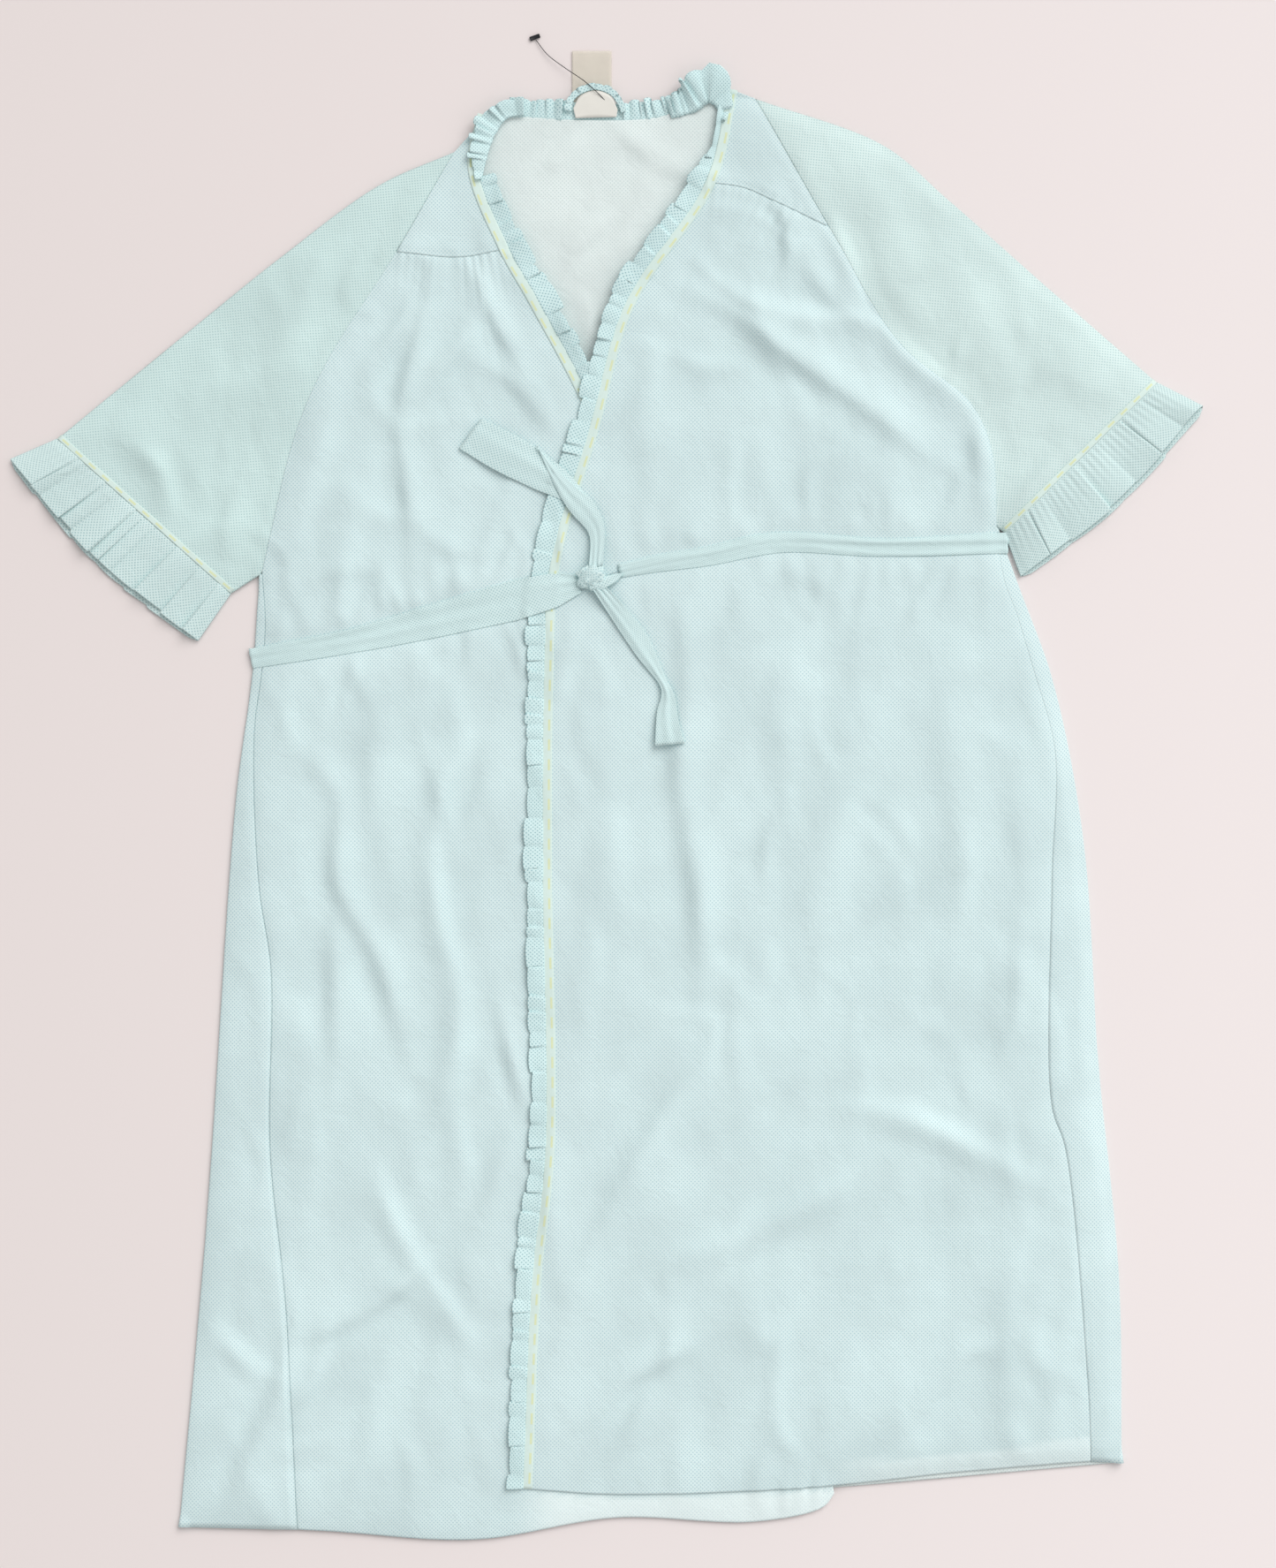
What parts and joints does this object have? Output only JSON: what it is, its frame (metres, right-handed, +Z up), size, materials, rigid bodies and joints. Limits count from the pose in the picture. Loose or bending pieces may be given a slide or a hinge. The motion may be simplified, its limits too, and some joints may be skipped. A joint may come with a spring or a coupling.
{
  "type": "wrap gown",
  "caption": "Dotted cotton wrap gown with ruffled neck, front edges and cuffs, narrow trim tape, short raglan sleeves and a tied belt, lying closed on its back.",
  "frame": {"origin": "point on the underside of the back panel, on the gown's middle line at about hip height", "axes": "+X to the wearer's left, +Y to the neck, +Z up off the surface it lies on"},
  "size_m": [0.964, 1.2181, 0.019],
  "materials": {
    "gown_cloth": "thin plain-weave cotton with a small printed dot, pale aqua",
    "ruffle_cloth": "the same dotted cotton, gathered",
    "belt_cloth": "the same dotted cotton, folded double and pressed",
    "trim_tape": "white woven tape with short yellow dashes",
    "label_satin": "off-white satin, blank",
    "care_label": "translucent nylon, blank",
    "tag_pin_plastic": "black moulded nylon"
  },
  "bodies": {
    "torso": {"back_panel": "gown_cloth", "right_front_panel": "gown_cloth", "right_front_yoke": "gown_cloth", "left_front_yoke": "gown_cloth", "left_front_panel": "gown_cloth", "right_front_ruffle": "ruffle_cloth", "right_front_tape": "trim_tape", "back_neck_ruffle": "ruffle_cloth", "left_front_ruffle": "ruffle_cloth", "left_front_tape": "trim_tape", "belt_back_run": "belt_cloth", "belt_right_run": "belt_cloth", "belt_left_run": "belt_cloth", "belt_knot": "belt_cloth", "care_label": "care_label", "neck_label": "label_satin", "tag_pin_crossbar": "tag_pin_plastic", "tag_pin_filament": "tag_pin_plastic", "tag_pin_bar": "tag_pin_plastic"},
    "right_sleeve": {"right_sleeve": "gown_cloth", "right_cuff_ruffle": "ruffle_cloth", "right_cuff_tape": "trim_tape"},
    "left_sleeve": {"left_sleeve": "gown_cloth", "left_cuff_ruffle": "ruffle_cloth", "left_cuff_tape": "trim_tape"},
    "front_corner": {"left_front_corner": "gown_cloth", "left_corner_ruffle": "ruffle_cloth", "left_corner_tape": "trim_tape"},
    "upper_tail": {"belt_upper_tail": "belt_cloth"},
    "lower_tail": {"belt_lower_tail": "belt_cloth"}
  },
  "joints": [
    {"name": "right_sleeve_fold", "type": "hinge", "parent": "torso", "child": "right_sleeve", "pos_m": [-0.121, 0.52, 0.0115], "axis": [0.416, 0.9094, 0], "range_deg": [0, 175]},
    {"name": "left_sleeve_fold", "type": "hinge", "parent": "torso", "child": "left_sleeve", "pos_m": [0.117, 0.566, 0.0125], "axis": [0.4616, -0.8871, 0], "range_deg": [0, 175]},
    {"name": "front_corner_fold", "type": "hinge", "parent": "torso", "child": "front_corner", "pos_m": [0.079, -0.3025, 0.0114], "axis": [-0.4727, 0.8812, 0], "range_deg": [0, 175]},
    {"name": "upper_tail_lift", "type": "hinge", "parent": "torso", "child": "upper_tail", "pos_m": [-0.009, 0.1979, 0.01205], "axis": [1, 0, 0], "range_deg": [0, 85]},
    {"name": "lower_tail_lift", "type": "hinge", "parent": "torso", "child": "lower_tail", "pos_m": [-0.00218, 0.16366, 0.01205], "axis": [-0.9333, -0.359, 0], "range_deg": [0, 85]}
  ]
}
